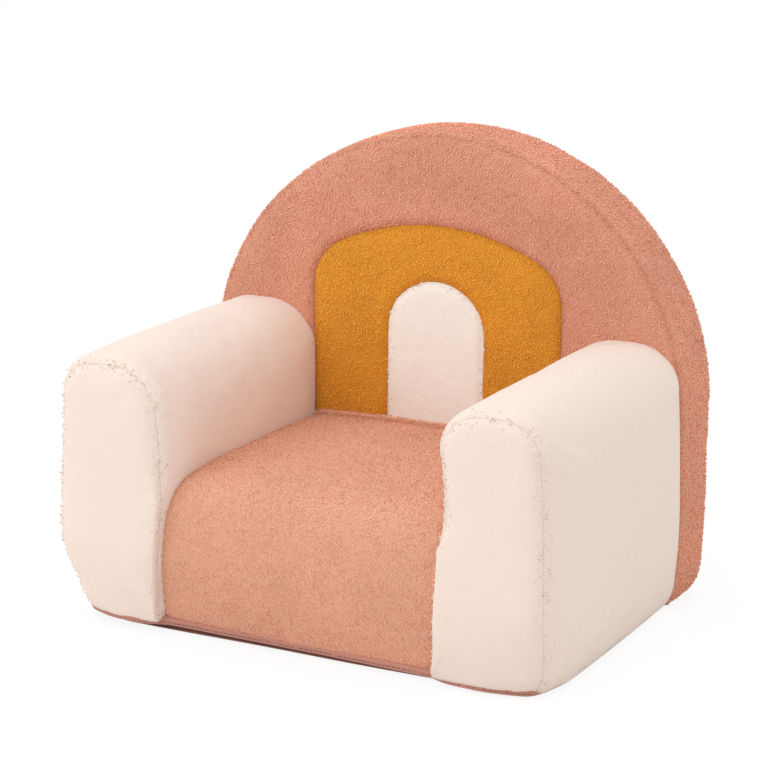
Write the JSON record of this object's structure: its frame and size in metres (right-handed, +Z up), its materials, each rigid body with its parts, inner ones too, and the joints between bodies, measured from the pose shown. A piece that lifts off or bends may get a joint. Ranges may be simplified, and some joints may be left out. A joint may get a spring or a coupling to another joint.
{
  "type": "kids armchair",
  "caption": "Small child's foam armchair with a round arched backrest, round-topped arms and a sewn pile cover with inset arches, closed by a zip low on its rear face.",
  "frame": {"origin": "on the floor, under the middle of the chair's bounding box", "axes": "+X across the chair, to the right as seen from in front; +Y from its front to its rear; +Z up"},
  "size_m": [0.5202, 0.4, 0.462],
  "materials": {
    "pink_curly": "short curly pile cloth, matt",
    "mustard_curly": "short curly pile cloth, matt",
    "cream_pile": "soft brushed pile cloth, matt",
    "rose_smooth": "smooth woven cloth with a faint sheen",
    "base_cloth": "plain woven cloth, matt",
    "foam": "open-cell foam, matt",
    "zip_tape": "woven tape, matt",
    "zip_teeth": "moulded plastic, satin",
    "zip_metal": "painted die-cast metal, satin"
  },
  "bodies": {
    "root": {"seat_foam": "foam", "back_foam": "foam", "arm_foam_left": "foam", "arm_foam_right": "foam", "seat_panel": "pink_curly", "back_front_panel": "pink_curly", "arch_outer": "mustard_curly", "arch_inner": "cream_pile", "back_rim_band": "pink_curly", "back_rear_panel": "pink_curly", "arm_left_wrap": "cream_pile", "arm_left_front": "cream_pile", "arm_right_wrap": "cream_pile", "arm_right_front": "cream_pile", "base_panel": "base_cloth", "base_binding": "rose_smooth", "zip_tape_upper": "zip_tape", "zip_tape_lower": "zip_tape", "zip_teeth_upper": "zip_teeth", "zip_teeth_lower": "zip_teeth", "zip_stops": "zip_metal"},
    "slider": {"zip_slider": "zip_metal"},
    "pull": {"zip_pull": "zip_metal"}
  },
  "joints": [
    {"name": "zip_slider_travel", "type": "slide", "parent": "root", "child": "slider", "axis": [-1, 0, 0], "range_m": [0, 0.372]},
    {"name": "zip_pull_swing", "type": "hinge", "parent": "slider", "child": "pull", "pos_m": [0.186, 0.19815, 0.036], "axis": [0, 0, -1], "range_deg": [0, 150]}
  ]
}
